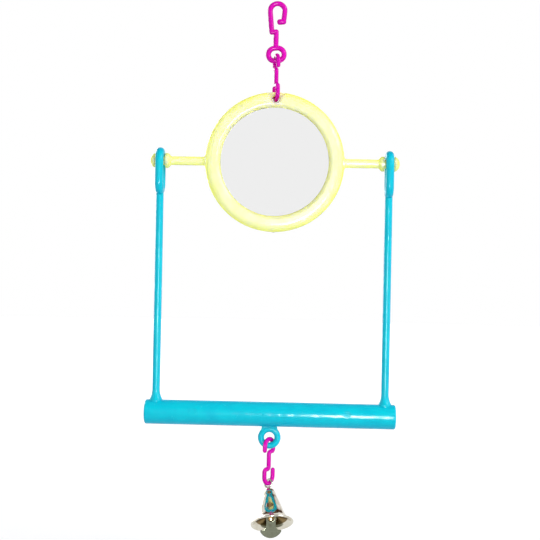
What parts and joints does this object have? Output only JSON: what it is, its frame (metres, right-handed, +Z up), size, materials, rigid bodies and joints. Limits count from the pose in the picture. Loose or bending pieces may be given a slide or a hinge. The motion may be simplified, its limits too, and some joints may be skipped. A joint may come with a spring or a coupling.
{
  "type": "bird swing",
  "caption": "Hanging bird swing: a round two-sided mirror in a moulded rim, a perch frame that swings on the rim's arms, and a bell below.",
  "frame": {"origin": "middle of the cage wire inside the hook's arch; the swing hangs below it", "axes": "+Z up; +X to the right along the perch; -Y is the front that the picture shows"},
  "size_m": [0.1208, 0.026, 0.2568],
  "materials": {
    "magenta_plastic": "glossy moulded polypropylene",
    "yellow_plastic": "satin gloss moulded polypropylene",
    "turquoise_plastic": "satin gloss moulded polypropylene",
    "mirror": "mirrored disc",
    "nickel_plate": "bright nickel plate on stamped steel",
    "steel_wire": "nickel-plated steel wire"
  },
  "bodies": {
    "hook": {"hanger_hook": "magenta_plastic"},
    "top_link": {"upper_link": "magenta_plastic"},
    "mirror": {"mirror_rim": "yellow_plastic", "front_mirror": "mirror", "back_mirror": "mirror"},
    "perch": {"perch_frame": "turquoise_plastic"},
    "lower_link": {"bell_link": "magenta_plastic"},
    "bell": {"bell_shell": "nickel_plate", "bell_wire": "steel_wire"},
    "clapper": {"clapper": "nickel_plate"}
  },
  "joints": [
    {"name": "link_on_hook", "type": "hinge", "parent": "hook", "child": "top_link", "pos_m": [0, 0, -0.0241], "axis": [1, 0, 0], "range_deg": [-45, 45]},
    {"name": "mirror_on_link", "type": "hinge", "parent": "top_link", "child": "mirror", "pos_m": [0, 0, -0.04295], "axis": [0, 1, 0], "range_deg": [-25, 25]},
    {"name": "perch_swing", "type": "hinge", "parent": "mirror", "child": "perch", "pos_m": [0, 0, -0.073], "axis": [1, 0, 0], "range_deg": [-110, 110]},
    {"name": "link_on_perch", "type": "hinge", "parent": "perch", "child": "lower_link", "pos_m": [0, 0, -0.21005], "axis": [0.8387, -0.5446, 0], "range_deg": [-50, 50]},
    {"name": "bell_on_link", "type": "hinge", "parent": "lower_link", "child": "bell", "pos_m": [0, 0, -0.22795], "axis": [0.9781, 0.2079, 0], "range_deg": [-6.5, 75]},
    {"name": "clapper_swing", "type": "hinge", "parent": "bell", "child": "clapper", "pos_m": [0.00182, -0.00856, -0.24044], "axis": [0.9781, 0.2079, 0], "range_deg": [-78, 12]}
  ]
}
